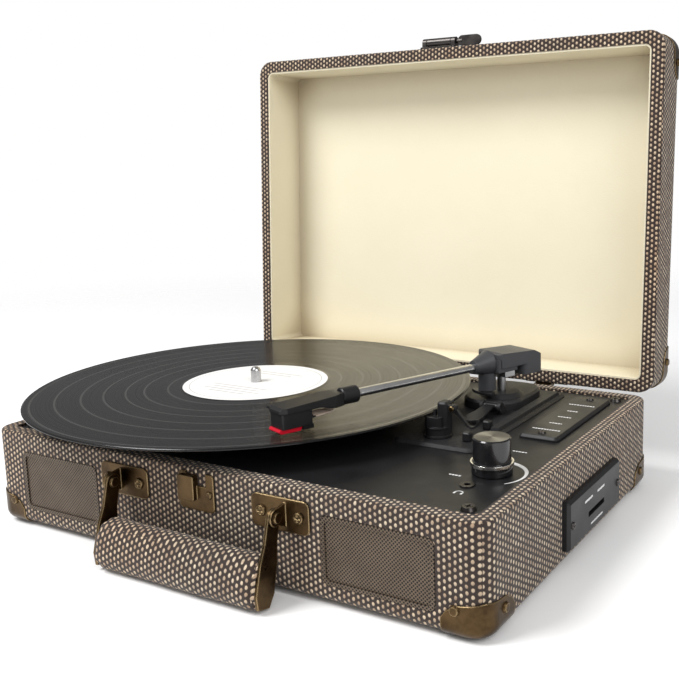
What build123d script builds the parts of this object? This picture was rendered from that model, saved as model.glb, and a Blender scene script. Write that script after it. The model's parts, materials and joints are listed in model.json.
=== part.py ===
"""Suitcase record player, open and playing: one solid or group of solids per piece.

Frame: millimetres, +Z up, front of the case towards -Y, +X to the right.
The origin is the centre of the case's footprint on the surface that it stands on.
"""
from build123d import *
import os
from math import cos, radians, sin

os.makedirs("parts", exist_ok=True)

# ---------------------------------------------------------------- case and lid
case_width = 360.0
case_depth = 256.0
base_height = 60.5
foot_height = 2.5
wall = 9.5
floor_thick = 4.0
corner_radius = 12.0
bottom_edge_radius = 6.0
rim_edge_radius = 2.0
rim_z = foot_height + base_height
floor_z = foot_height + floor_thick

lid_depth = 47.5
lid_wall = 9.3
lid_back_thick = 4.5
lid_edge_radius = 15.0
lining_thick = 1.3
lid_lean = 3.3                      # degrees past upright when fully open
lid_edge_y = 139.4
lid_edge_z = 61.1
hinge_y = 132.6
hinge_z = 56.7
hinge_x = 95.0

# ---------------------------------------------------------------- deck
deck_gap = 0.5
deck_thick = 3.0
deck_z = rim_z - 1.5
deck_bottom_z = deck_z - deck_thick
deck_width = case_width - 2 * (wall + deck_gap)
deck_depth = case_depth - 2 * (wall + deck_gap)
deck_screw_x = 162.0
deck_screw_y = 110.5
post_side = 16.0
post_inset = 1.0

# ---------------------------------------------------------------- turntable
platter_x = -61.0
platter_y = -6.5
platter_radius = 98.0
drive_radius = 62.0
platter_top_z = 76.2
mat_thick = 1.0
record_radius = 150.8
record_bottom_z = platter_top_z + mat_thick
record_top_z = record_bottom_z + 1.8
spindle_radius = 3.55
spindle_top_z = 89.8
bearing_clearance = 0.04
pulley_x = platter_x - 60.0
pulley_y = platter_y + 60.0
pulley_radius = 3.1
belt_thick = 0.8

# ---------------------------------------------------------------- tonearm
arm_x = 95.8
arm_y = 64.9
arm_z = 93.0
arm_heading = 69.1                  # degrees from +X to the line stylus to pivot
tube_radius = 2.7
pitch_pin_radius = 1.5
shaft_radius = 3.0

# ---------------------------------------------------------------- front hardware
grille_x = 118.0
grille_z = 32.0
grille_width = 68.0
grille_height = 38.0
bracket_x = 58.5
bracket_z = 47.3
handle_pivot_y = -case_depth / 2 - 8.5
handle_pivot_z = 48.5
strap_x = 60.0
strap_thick = 1.6
handle_lean = 14.0                  # degrees from straight down, grip on the floor
grip_drop = 34.5
pivot_radius = 2.0

front_y = -case_depth / 2
right_x = case_width / 2


def save(piece, name):
    """Label a finished piece and write it to its own STEP file."""
    piece.part.label = name
    export_step(piece.part, "parts/" + name + ".step")


def along_y(y, x=0.0, z=0.0):
    """A plane facing the front of the case, with its own X along +X and Y along +Z."""
    return Plane(origin=(x, y, z), x_dir=(1, 0, 0), z_dir=(0, -1, 0))


def along_x(x, y=0.0, z=0.0):
    """A plane facing +X, with its own X along +Y and Y along +Z."""
    return Plane(origin=(x, y, z), x_dir=(0, 1, 0), z_dir=(1, 0, 0))


lean = radians(lid_lean)
lid_frame = Plane(
    origin=(0, lid_edge_y, lid_edge_z), x_dir=(1, 0, 0), z_dir=(0, -cos(lean), sin(lean))
)
lid_back_frame = lid_frame.offset(-lid_depth)


# ================================================================ base of the case
with BuildPart() as base_shell:
    with BuildSketch(Plane.XY.offset(foot_height)):
        RectangleRounded(case_width, case_depth, corner_radius)
    extrude(amount=base_height)
    fillet(base_shell.faces().sort_by(Axis.Z)[0].edges(), bottom_edge_radius)
    fillet(base_shell.faces().sort_by(Axis.Z)[-1].edges(), rim_edge_radius)
    with BuildSketch(Plane.XY.offset(floor_z)):
        RectangleRounded(case_width - 2 * wall, case_depth - 2 * wall, 4)
    extrude(amount=base_height, mode=Mode.SUBTRACT)
    # front wall: a shallow seat and a sound opening for each grille
    with BuildSketch(along_y(front_y)):
        with Locations((-grille_x, grille_z), (grille_x, grille_z)):
            RectangleRounded(grille_width + 0.6, grille_height + 0.6, 4)
    extrude(amount=-1.6, mode=Mode.SUBTRACT)
    with BuildSketch(along_y(front_y)):
        with Locations((-grille_x, grille_z), (grille_x, grille_z)):
            RectangleRounded(grille_width - 8, grille_height - 8, 3)
    extrude(amount=-wall, mode=Mode.SUBTRACT)
    # right wall: opening for the body of the side panel
    with BuildSketch(along_x(right_x - wall)):
        with Locations((10.5, 26)):
            Rectangle(76.4, 20.4)
    extrude(amount=wall, mode=Mode.SUBTRACT)
    # back wall: round openings for the sockets
    with BuildSketch(along_y(-front_y)):
        with Locations((48, 30), (66, 30), (120, 30)):
            Circle(5.0)
    extrude(amount=wall, mode=Mode.SUBTRACT)

with BuildPart() as corner_posts:
    post_x = case_width / 2 - wall - post_side / 2
    post_y = case_depth / 2 - wall - post_side / 2
    with BuildSketch(Plane.XY.offset(floor_z)):
        with GridLocations(2 * post_x, 2 * post_y, 2, 2):
            RectangleRounded(post_side, post_side, 4.3)
        with GridLocations(2 * deck_screw_x, 2 * deck_screw_y, 2, 2):
            Circle(1.6, mode=Mode.SUBTRACT)
    extrude(amount=deck_bottom_z - floor_z)
save(corner_posts, "corner_posts")

with BuildPart() as rubber_feet:
    with BuildSketch():
        with GridLocations(270, 170, 2, 2):
            Circle(9)
    extrude(amount=foot_height)
    fillet(rubber_feet.faces().sort_by(Axis.Z)[:4].edges(), 0.8)
save(rubber_feet, "rubber_feet")

# ---------------------------------------------------------------- deck plate
control_x = 148.5
control_y = 54.0
knob_x = 149.0
knob_y = -58.0
phone_x = 146.0
phone_y = -81.5
switch_x = 114.0
speed_y = -18.0
stop_y = 9.0

with BuildPart() as deck_plate:
    with BuildSketch(Plane.XY.offset(deck_bottom_z)):
        RectangleRounded(deck_width, deck_depth, 3.5)
        with GridLocations(2 * deck_screw_x, 2 * deck_screw_y, 2, 2):
            Circle(1.6, mode=Mode.SUBTRACT)
        with Locations((platter_x, platter_y)):
            Circle(8, mode=Mode.SUBTRACT)
        with Locations((pulley_x, pulley_y)):
            Circle(5, mode=Mode.SUBTRACT)
        with Locations((knob_x, knob_y)):
            Circle(4, mode=Mode.SUBTRACT)
        with Locations((phone_x, phone_y)):
            Circle(3.2, mode=Mode.SUBTRACT)
        with Locations((arm_x, arm_y)):
            Circle(6, mode=Mode.SUBTRACT)
        with Locations((switch_x, speed_y), (switch_x, stop_y)):
            Rectangle(5, 12, mode=Mode.SUBTRACT)
    extrude(amount=deck_thick)
    chamfer(deck_plate.faces().sort_by(Axis.Z)[-1].outer_wire().edges(), 0.6)


def pan_screw(plane, head_radius, head_height, shank_radius, shank_length):
    """A domed cross-head screw: its head stands out of the plane, its shank goes in."""
    with BuildSketch(plane) as head:
        Circle(head_radius)
    extrude(head.sketch, amount=head_height, taper=22)
    with BuildSketch(plane.offset(head_height)) as cross:
        Rectangle(head_radius * 1.1, head_radius * 0.26)
        Rectangle(head_radius * 0.26, head_radius * 1.1)
    extrude(cross.sketch, amount=-head_height * 0.55, mode=Mode.SUBTRACT)
    with BuildSketch(plane) as shank:
        Circle(shank_radius)
    extrude(shank.sketch, amount=-shank_length)


with BuildPart() as deck_screws:
    for sx in (-1, 1):
        for sy in (-1, 1):
            seat = Plane.XY.move(Location((sx * deck_screw_x, sy * deck_screw_y, deck_z)))
            pan_screw(seat, 4.2, 2.0, 1.5, 14)
save(deck_screws, "deck_screws")

# ---------------------------------------------------------------- tonearm island
island_x0, island_x1 = 69.0, 126.0
island_y0, island_y1 = -36.0, 110.0
island_height = 2.4
island_z = deck_z + island_height
rib_x0, rib_x1 = 114.5, 125.5
rib_y0, rib_y1 = 3.0, 101.0
rib_height = 2.4

with BuildPart() as tonearm_island:
    with BuildSketch(Plane.XY.offset(deck_z)):
        with Locations(((island_x0 + island_x1) / 2, (island_y0 + island_y1) / 2)):
            RectangleRounded(island_x1 - island_x0, island_y1 - island_y0, 6)
        with Locations((arm_x, arm_y)):
            Circle(6, mode=Mode.SUBTRACT)
        with Locations((switch_x, speed_y), (switch_x, stop_y)):
            Rectangle(3.4, 11.6, mode=Mode.SUBTRACT)
    extrude(amount=island_height)
    chamfer(tonearm_island.faces().sort_by(Axis.Z)[-1].outer_wire().edges(), 1.8)
    with BuildSketch(Plane.XY.offset(island_z)):
        with Locations(((rib_x0 + rib_x1) / 2, (rib_y0 + rib_y1) / 2)):
            Rectangle(rib_x1 - rib_x0 - 3.6, rib_y1 - rib_y0)
        with Locations((switch_x, stop_y)):
            Rectangle(7, 14, mode=Mode.SUBTRACT)
    extrude(amount=rib_height, taper=12)
save(tonearm_island, "tonearm_island")

with BuildPart() as control_plate:
    with BuildSketch(Plane.XY.offset(deck_z)):
        with Locations((control_x, control_y)):
            RectangleRounded(26, 98, 2.6)
        with Locations((control_x, control_y - 42), (control_x, control_y + 42)):
            Circle(1.3, mode=Mode.SUBTRACT)
    extrude(amount=2.8)
    chamfer(control_plate.faces().sort_by(Axis.Z)[-1].outer_wire().edges(), 1.6)
save(control_plate, "control_plate")

# ---------------------------------------------------------------- speakers
for side, sign in (("left", -1), ("right", 1)):
    with BuildPart() as speaker_grille:
        with BuildSketch(along_y(front_y + 1.6)):
            with Locations((sign * grille_x, grille_z)):
                RectangleRounded(grille_width, grille_height, 4)
        extrude(amount=1.2)
        # raised frame round the meshed field
        with BuildSketch(along_y(front_y + 0.4)):
            with Locations((sign * grille_x, grille_z)):
                RectangleRounded(grille_width, grille_height, 4)
                RectangleRounded(grille_width - 5, grille_height - 5, 2.5, mode=Mode.SUBTRACT)
        extrude(amount=0.7)
    save(speaker_grille, "speaker_grille_" + side)

speaker_y = front_y + wall
with BuildPart() as speakers:
    for sign in (-1, 1):
        seat = along_y(speaker_y, sign * grille_x, grille_z)
        with BuildSketch(seat):
            RectangleRounded(66, 42, 6)
            Circle(16.5, mode=Mode.SUBTRACT)
        extrude(amount=-2)
        with BuildSketch(seat.offset(-2)):
            Circle(19)
            Circle(17, mode=Mode.SUBTRACT)
        extrude(amount=-8)
        with BuildSketch(seat.offset(-10)):
            Circle(19)
        extrude(amount=-2)
        with BuildSketch(seat.offset(-12)):
            Circle(14)
        extrude(amount=-9)
save(speakers, "speakers")

with BuildPart() as speaker_cones:
    for sign in (-1, 1):
        seat = along_y(speaker_y, sign * grille_x, grille_z)
        with BuildSketch(Plane(seat.origin, x_dir=(1, 0, 0), z_dir=(0, 0, 1))):
            with BuildLine():
                Polyline((0, 7.8), (5, 7.8), (15.8, 1.4), (15.8, 0.6), (4.6, 7.0), (0, 5.6), (0, 7.8))
            make_face()
        revolve(axis=Axis(seat.origin, (0, 1, 0)))
save(speaker_cones, "speaker_cones")

# ---------------------------------------------------------------- side panel and sockets
side_y, side_z = 10.5, 26.0
with BuildPart() as side_panel:
    with BuildSketch(along_x(right_x)):
        with Locations((side_y, side_z)):
            RectangleRounded(87, 30, 2)
    extrude(amount=4.5)
    chamfer(side_panel.faces().sort_by(Axis.X)[-1].edges(), 1.8)
    with BuildSketch(along_x(right_x)):
        with Locations((side_y, side_z)):
            Rectangle(76, 20)
    extrude(amount=-wall - 8)
    with BuildSketch(along_x(right_x + 4.5)):
        with Locations((side_y, side_z - 2.5)):
            Rectangle(27, 3.2)
        with Locations((side_y - 38.5, side_z), (side_y + 38.5, side_z)):
            Circle(1.3)
    extrude(amount=-9, mode=Mode.SUBTRACT)
save(side_panel, "side_panel")

with BuildPart() as panel_screws:
    for offset_y in (-42, 42):
        pan_screw(
            Plane.XY.move(Location((control_x, control_y + offset_y, deck_z + 2.8))),
            2.6, 1.2, 1.2, 5.0,
        )
    for offset_y in (-38.5, 38.5):
        pan_screw(along_x(right_x + 4.5, side_y + offset_y, side_z), 2.4, 1.0, 1.2, 7.0)
save(panel_screws, "panel_screws")

back_y = case_depth / 2
with BuildPart() as rca_jacks:
    for jack_x in (48, 66):
        seat = along_y(back_y, jack_x, 30)
        with BuildSketch(seat):
            Circle(6.5)
        extrude(amount=-1.5)
        with BuildSketch(seat.offset(-1.5)):
            Circle(4.15)
        extrude(amount=-8.5)
        with BuildSketch(seat):
            Circle(4.9)
        extrude(amount=wall + 3)
        with BuildSketch(seat.offset(-10)):
            Circle(1.65)
        extrude(amount=8, mode=Mode.SUBTRACT)
save(rca_jacks, "rca_jacks")

with BuildPart() as dc_jack:
    seat = along_y(back_y, 120, 30)
    with BuildSketch(seat):
        Circle(6.5)
    extrude(amount=-1.5)
    with BuildSketch(seat):
        Circle(4.9)
    extrude(amount=wall + 4)
    with BuildSketch(seat.offset(-1.5)):
        Circle(2.75)
    extrude(amount=10, mode=Mode.SUBTRACT)
save(dc_jack, "dc_jack")

with BuildPart() as phone_jack:
    with BuildSketch(Plane.XY.offset(deck_z)):
        with Locations((phone_x, phone_y)):
            Circle(4.2)
    extrude(amount=0.8)
    with BuildSketch(Plane.XY.offset(deck_z)):
        with Locations((phone_x, phone_y)):
            Circle(3.1)
    extrude(amount=-deck_thick)
    with BuildSketch(Plane.XY.offset(deck_bottom_z)):
        with Locations((phone_x, phone_y)):
            Rectangle(9, 9)
    extrude(amount=-13)
    with BuildSketch(Plane.XY.offset(deck_z + 0.8)):
        with Locations((phone_x, phone_y)):
            Circle(1.8)
    extrude(amount=-14.8, mode=Mode.SUBTRACT)
save(phone_jack, "phone_jack")

# ---------------------------------------------------------------- electronics and motor
with BuildPart() as circuit_board:
    with BuildSketch(Plane.XY.offset(floor_z + 6)):
        with Locations((100, 55)):
            Rectangle(96, 70)
    extrude(amount=1.6)
    with BuildSketch(Plane.XY.offset(floor_z)):
        with Locations((100, 55)):
            with GridLocations(86, 60, 2, 2):
                Circle(3)
    extrude(amount=6)
    with BuildSketch(Plane.XY.offset(floor_z + 7.6)):
        with Locations((80, 60), (100, 75)):
            Circle(5)
        with Locations((118, 42)):
            Rectangle(18, 18)
    extrude(amount=11)
save(circuit_board, "circuit_board")

with BuildPart() as volume_pot:
    with BuildSketch(Plane.XY.offset(deck_bottom_z)):
        with Locations((knob_x, knob_y)):
            Circle(8.5)
            Circle(3.1, mode=Mode.SUBTRACT)
    extrude(amount=-9)
    with BuildSketch(Plane.XY.offset(deck_bottom_z - 9)):
        with Locations((knob_x, knob_y)):
            Circle(8.5)
    extrude(amount=-1.2)
save(volume_pot, "volume_pot")

with BuildPart() as slide_switches:
    for switch_y in (speed_y, stop_y):
        with BuildSketch(Plane.XY.offset(deck_bottom_z)):
            with Locations((switch_x, switch_y)):
                Rectangle(9, 19)
                Rectangle(2.8, 11, mode=Mode.SUBTRACT)
        extrude(amount=-5)
        with BuildSketch(Plane.XY.offset(deck_bottom_z - 5)):
            with Locations((switch_x, switch_y)):
                Rectangle(9, 19)
        extrude(amount=-1.5)
save(slide_switches, "slide_switches")

with BuildPart() as motor:
    with BuildSketch(Plane.XY.offset(deck_bottom_z)):
        with Locations((pulley_x, pulley_y)):
            RectangleRounded(44, 34, 6)
            Circle(3.4, mode=Mode.SUBTRACT)
    extrude(amount=-1.5)
    with BuildSketch(Plane.XY.offset(deck_bottom_z - 1.5)):
        with Locations((pulley_x, pulley_y)):
            Circle(16)
            Circle(1.25, mode=Mode.SUBTRACT)
    extrude(amount=-14)
    with BuildSketch(Plane.XY.offset(deck_bottom_z - 15.5)):
        with Locations((pulley_x, pulley_y)):
            Circle(16)
    extrude(amount=-8)
save(motor, "motor")

with BuildPart() as motor_pulley:
    with BuildSketch(Plane.XY.offset(deck_bottom_z - 15)):
        with Locations((pulley_x, pulley_y)):
            Circle(1.2)
    extrude(amount=15 + deck_thick + 4.0)
    with BuildSketch(Plane.XY.offset(deck_z + 3.4)):
        with Locations((pulley_x, pulley_y)):
            Circle(4.4)
    extrude(amount=0.7)
    with BuildSketch(Plane.XY.offset(deck_z + 4.1)):
        with Locations((pulley_x, pulley_y)):
            Circle(pulley_radius)
    extrude(amount=5.3)
    with BuildSketch(Plane.XY.offset(deck_z + 9.4)):
        with Locations((pulley_x, pulley_y)):
            Circle(4.4)
    extrude(amount=0.6)
save(motor_pulley, "motor_pulley")

# the belt wraps the platter's drive ring and the pulley, a hair clear of both
belt_gap = 0.3
with BuildPart() as drive_belt:
    with BuildSketch(Plane.XY.offset(deck_z + 4.5)):
        for grow, mode in ((belt_gap + belt_thick, Mode.ADD), (belt_gap, Mode.SUBTRACT)):
            with BuildSketch(mode=mode):
                with Locations((platter_x, platter_y)):
                    Circle(drive_radius + grow)
                with Locations((pulley_x, pulley_y)):
                    Circle(pulley_radius + grow)
                make_hull()
    extrude(amount=4.4)
save(drive_belt, "drive_belt")

with BuildPart() as platter_bearing:
    with BuildSketch(Plane.XY.offset(deck_z)):
        with Locations((platter_x, platter_y)):
            Circle(14)
            Circle(3.0 + bearing_clearance, mode=Mode.SUBTRACT)
    extrude(amount=2)
    with BuildSketch(Plane.XY.offset(deck_z)):
        with Locations((platter_x, platter_y)):
            Circle(7.9)
            Circle(3.0 + bearing_clearance, mode=Mode.SUBTRACT)
    extrude(amount=-22)
    with BuildSketch(Plane.XY.offset(deck_z - 22)):
        with Locations((platter_x, platter_y)):
            Circle(7.9)
    extrude(amount=-2)
save(platter_bearing, "platter_bearing")

# ================================================================ turntable
with BuildPart() as platter:
    with BuildSketch(along_y(platter_y, platter_x)):
        with BuildLine():
            Polyline(
                (spindle_radius, 66.0), (12, 66.0), (12, 72.0),
                (drive_radius - 3, 72.0), (drive_radius - 3, 65.2), (drive_radius, 65.2),
                (drive_radius, 72.0), (platter_radius - 4, 72.0), (platter_radius - 4, 64.5),
                (platter_radius, 64.5), (platter_radius, platter_top_z - 1),
                (platter_radius - 1, platter_top_z), (spindle_radius, platter_top_z),
                close=True,
            )
        make_face()
    revolve(axis=Axis((platter_x, platter_y, 0), (0, 0, 1)))
save(platter, "platter")

with BuildPart() as spindle:
    with BuildSketch(along_y(platter_y, platter_x)):
        with BuildLine():
            Polyline(
                (0, deck_z - 21), (3.0, deck_z - 21), (3.0, 66.0),
                (spindle_radius, 66.0), (spindle_radius, spindle_top_z - 2.6),
                (spindle_radius - 0.5, spindle_top_z - 1.4),
                (spindle_radius - 1.6, spindle_top_z - 0.4), (0, spindle_top_z), close=True,
            )
        make_face()
    revolve(axis=Axis((platter_x, platter_y, 0), (0, 0, 1)))
save(spindle, "spindle")

with BuildPart() as slip_mat:
    with BuildSketch(Plane.XY.offset(platter_top_z)):
        with Locations((platter_x, platter_y)):
            Circle(platter_radius - 2)
            Circle(spindle_radius + 0.3, mode=Mode.SUBTRACT)
    extrude(amount=mat_thick)
save(slip_mat, "slip_mat")

with BuildPart() as record:
    with BuildSketch(along_y(platter_y, platter_x)):
        with BuildLine():
            Polyline(
                (spindle_radius + 0.12, record_bottom_z), (50.5, record_bottom_z),
                (52, record_bottom_z + 0.25), (145.5, record_bottom_z + 0.25),
                (147.5, record_bottom_z + 0.05), (149.8, record_bottom_z + 0.05),
                (record_radius, record_bottom_z + 0.7), (record_radius, record_top_z - 0.7),
                (149.8, record_top_z - 0.05), (147.5, record_top_z - 0.05),
                (145.5, record_top_z - 0.3), (52, record_top_z - 0.3),
                (50.5, record_top_z), (spindle_radius + 0.12, record_top_z),
                close=True,
            )
        make_face()
    revolve(axis=Axis((platter_x, platter_y, 0), (0, 0, 1)))
save(record, "record")

# ================================================================ tonearm
heading = radians(arm_heading)
forward = Vector(-cos(heading), -sin(heading), 0)


def arm_level(height):
    """A level plane over the arm's pivot, its own X running forward along the arm."""
    return Plane(origin=(arm_x, arm_y, height), x_dir=forward, z_dir=(0, 0, 1))


def arm_section(reach, height=arm_z):
    """A plane across the arm, that far forward of the pivot, facing forward."""
    origin = Vector(arm_x, arm_y, height) + forward * reach
    return Plane(origin=origin, x_dir=(-forward.Y, forward.X, 0), z_dir=forward)


arm_side = Plane(origin=(arm_x, arm_y, arm_z), x_dir=forward, z_dir=(forward.Y, -forward.X, 0))

base_block_x, base_block_y = 93.0, 72.0
cue_x, cue_y, cue_z = 101.5, 37.5, island_z + 5.2
lift_stem_reach = 12.5
lift_stem_radius = 1.8
with BuildPart() as arm_base:
    with BuildSketch(Plane.XY.offset(island_z)):
        with Locations((base_block_x, base_block_y)):
            RectangleRounded(42, 60, 17)
    extrude(amount=6.5)
    chamfer(arm_base.faces().sort_by(Axis.Z)[-1].edges(), 1.6)
    with BuildSketch(arm_level(island_z + 6.5)):
        Circle(15.5)
    extrude(amount=2.5, taper=55)
    # ears each side of the cueing lever
    for ear_x in (cue_x - 6.4, cue_x + 6.4):
        with BuildSketch(along_x(ear_x, cue_y, cue_z)):
            Circle(3.4)
            with Locations((3, -2.5)):
                Rectangle(6.8, 4.9)
        extrude(amount=1.2, both=True)
    with BuildSketch(along_x(cue_x - 8, cue_y, cue_z)):
        Circle(1.2 + bearing_clearance)
    extrude(amount=16, mode=Mode.SUBTRACT)
    # room for the lever's barrel between the ears
    with BuildSketch(along_x(cue_x - 5.2, cue_y, cue_z)):
        Circle(3.2)
    extrude(amount=10.4, mode=Mode.SUBTRACT)
    with BuildSketch(arm_level(deck_bottom_z - 9)):
        Circle(5.9)
    extrude(amount=deck_thick + island_height + 9)
    with BuildSketch(arm_level(deck_bottom_z - 9)):
        Circle(shaft_radius + bearing_clearance)
    extrude(amount=40, mode=Mode.SUBTRACT)
    with BuildSketch(arm_level(island_z + 1)):
        with Locations((lift_stem_reach, 0)):
            Circle(lift_stem_radius + bearing_clearance)
    extrude(amount=20, mode=Mode.SUBTRACT)
save(arm_base, "arm_base")

shaft_bottom_z = deck_bottom_z - 8
with BuildPart() as arm_yoke:
    with BuildSketch(arm_level(shaft_bottom_z)):
        Circle(shaft_radius)
    extrude(amount=arm_z - 9 - shaft_bottom_z)
    with BuildSketch(arm_level(arm_z - 9)):
        Rectangle(9, 17)
    extrude(amount=2.5)
    for sign in (-1, 1):
        with BuildSketch(arm_level(arm_z - 9)):
            with Locations((0, sign * 7.6)):
                Rectangle(9, 1.8)
        extrude(amount=12.5)
    with BuildSketch(arm_side.offset(-9)):
        Circle(pitch_pin_radius + bearing_clearance)
    extrude(amount=18, mode=Mode.SUBTRACT)
save(arm_yoke, "arm_yoke")

housing_z = arm_z + 1.5
with BuildPart() as arm_housing:
    # tapered nose where the tube comes out
    with BuildSketch(arm_section(26, housing_z - 1.2)):
        Circle(4.4)
    with BuildSketch(arm_section(13, housing_z)):
        Circle(8.4)
    loft()
    # cheeks each side of the yoke, with the pitch pins
    with BuildSketch(arm_section(13, housing_z)):
        Circle(8.4)
    extrude(amount=-0.7)
    with BuildSketch(arm_section(12.4)):
        Rectangle(22.2, 8.8)
    extrude(amount=-2.6)
    for sign in (-1, 1):
        with BuildSketch(arm_side.offset(sign * 10.1)):
            with Locations((4, 0)):
                Rectangle(17, 9)
        extrude(amount=1.0, both=True)
        with BuildSketch(arm_side.offset(sign * 9.6)):
            Circle(pitch_pin_radius)
        extrude(amount=-sign * 3.6)
    # round foot that the lifter pushes up
    with BuildSketch(arm_level(arm_z - 17.1)):
        with Locations((13.5, 0)):
            Circle(6.0)
    extrude(amount=12)
    with BuildSketch(arm_section(27, arm_z)):
        Circle(tube_radius)
    extrude(amount=-12, mode=Mode.SUBTRACT)
save(arm_housing, "arm_housing")

with BuildPart() as arm_cap:
    with BuildSketch(arm_side.offset(-12.3)):
        with BuildLine():
            Polyline(
                (12, -1.5), (12, 7.6), (9, 8.6), (-20, 7.0), (-27, 3.6), (-28.5, -1.0),
                (-28.5, -9.0), (-9.5, -9.0), (-9.5, -1.5), close=True,
            )
        make_face()
    extrude(amount=24.6)
    fillet(arm_cap.edges().filter_by(Axis.Z), 4.0)
    # hollow over the yoke and the cheeks
    with BuildSketch(arm_side.offset(-11.3)):
        with Locations((1.6, -2)):
            Rectangle(21.6, 13)
    extrude(amount=22.6, mode=Mode.SUBTRACT)
save(arm_cap, "arm_cap")

with BuildPart() as arm_tube:
    with BuildSketch(arm_section(16)):
        Circle(tube_radius)
    extrude(amount=118)
save(arm_tube, "arm_tube")

with BuildPart() as arm_collar:
    with BuildSketch(arm_section(120)):
        Circle(5.3)
        Circle(tube_radius, mode=Mode.SUBTRACT)
    extrude(amount=12)
    chamfer(arm_collar.edges().filter_by(GeomType.CIRCLE).group_by(SortBy.RADIUS)[-1], 0.8)
save(arm_collar, "arm_collar")

with BuildPart() as headshell:
    with BuildSketch(arm_side.offset(-9)):
        with BuildLine():
            Polyline(
                (132, 3.4), (136, 3.6), (174, 1.8), (176, 0.4), (176, -1.4), (150, -1.6),
                (140, -3.8), (132, -4.4), close=True,
            )
        make_face()
    extrude(amount=18)
    with BuildSketch(arm_level(arm_z - 8)):
        with BuildLine():
            Polyline(
                (132, 4.6), (140, 8.0), (172, 8.0), (176, 5.5), (176, -5.5), (172, -8.0),
                (140, -8.0), (132, -4.6), close=True,
            )
        make_face()
    extrude(amount=14, mode=Mode.INTERSECT)
    with BuildSketch(arm_section(131)):
        Circle(tube_radius)
    extrude(amount=3.2, mode=Mode.SUBTRACT)
    # finger lift at the front left corner
    with BuildSketch(arm_level(arm_z - 1.4)):
        with Locations((171, -11)):
            RectangleRounded(5, 8, 2.2)
    extrude(amount=1.4)
save(headshell, "headshell")

cartridge_top_z = arm_z - 1.6
cartridge_bottom_z = record_top_z + 3.6
with BuildPart() as cartridge:
    with BuildSketch(arm_level(cartridge_bottom_z)):
        with Locations((165, 0)):
            RectangleRounded(20, 14, 1.2)
    extrude(amount=cartridge_top_z - cartridge_bottom_z)
    with BuildSketch(arm_level(cartridge_bottom_z - 2.6)):
        with Locations((157.6, 0)):
            Rectangle(7, 12)
    extrude(amount=2.6)
    # four terminal pins on the back
    with BuildSketch(arm_section(155, cartridge_bottom_z + 3.4)):
        with GridLocations(3.0, 2.6, 4, 1):
            Circle(0.55)
    extrude(amount=-3)
save(cartridge, "cartridge")

stylus_reach = 173.0
with BuildPart() as stylus:
    with BuildSketch(arm_side.offset(-6)):
        with BuildLine():
            Polyline(
                (161.4, record_top_z + 3.6 - arm_z), (176, record_top_z + 3.6 - arm_z),
                (176.6, record_top_z + 2.2 - arm_z), (175.6, record_top_z + 1.2 - arm_z),
                (163, record_top_z + 1.0 - arm_z), close=True,
            )
        make_face()
    extrude(amount=12)
    with BuildSketch(arm_level(record_top_z - 0.0)):
        with Locations((stylus_reach, 0)):
            Circle(0.25)
    extrude(amount=1.3)
save(stylus, "stylus")

# four short leads from the tube's front end down to the cartridge pins
with BuildPart() as cartridge_wires:
    for number in range(4):
        shift = (number - 1.5) * 3.0
        start = Vector(134, shift * 0.35, 0)
        pin_drop = cartridge_bottom_z + 3.4 - arm_z
        corners = [
            arm_level(arm_z).from_local_coords(Vector(*point))
            for point in (
                (137.5, shift * 0.5, -4.6),
                (140.5, shift * 0.75, -6.6),
                (146, shift, pin_drop + 0.5),
                (151.8, shift, pin_drop),
            )
        ]
        with BuildLine() as route:
            FilletPolyline(*corners, radius=1.6)
        with BuildSketch(Plane(origin=route.line @ 0, z_dir=route.line % 0)):
            Circle(0.5)
        sweep(path=route.line)
save(cartridge_wires, "cartridge_wires")

# ---------------------------------------------------------------- arm rest and lifter
rest_x, rest_y = 93.0, -19.5
post_x, post_y = rest_x + 4.4, rest_y + 1.5
clip_x, clip_z = post_x + 6.2, island_z + 18.5
with BuildPart() as arm_rest:
    for ring_z, ring_radius, ring_height in (
        (0, 8.6, 1.6), (1.6, 7.6, 4.2), (5.8, 8.0, 1.0),
    ):
        with BuildSketch(Plane.XY.offset(island_z + ring_z)):
            with Locations((rest_x, rest_y)):
                Circle(ring_radius)
        extrude(amount=ring_height)
    with BuildSketch(Plane.XY.offset(island_z + 6.8)):
        with Locations((rest_x - 1, rest_y)):
            RectangleRounded(11.5, 11, 2.5)
    extrude(amount=6.0)
    with BuildSketch(Plane.XY.offset(island_z + 12.8)):
        with Locations((rest_x - 1.6, rest_y)):
            Circle(1.2)
    extrude(amount=4.0)
    with BuildSketch(Plane.XY.offset(island_z)):
        with Locations((post_x, post_y)):
            RectangleRounded(7.2, 8.4, 2)
    extrude(amount=22.2)
    chamfer(arm_rest.faces().sort_by(Axis.Z)[-1].edges(), 1.2)
    # lug on the post's right side that carries the clip's pin
    with BuildSketch(along_y(post_y - 1.0, clip_x, clip_z)):
        Circle(2.2)
        with Locations((-2.2, 0)):
            Rectangle(4.4, 4.4)
        Circle(1.0, mode=Mode.SUBTRACT)
    extrude(amount=2.0)
save(arm_rest, "arm_rest")

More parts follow.
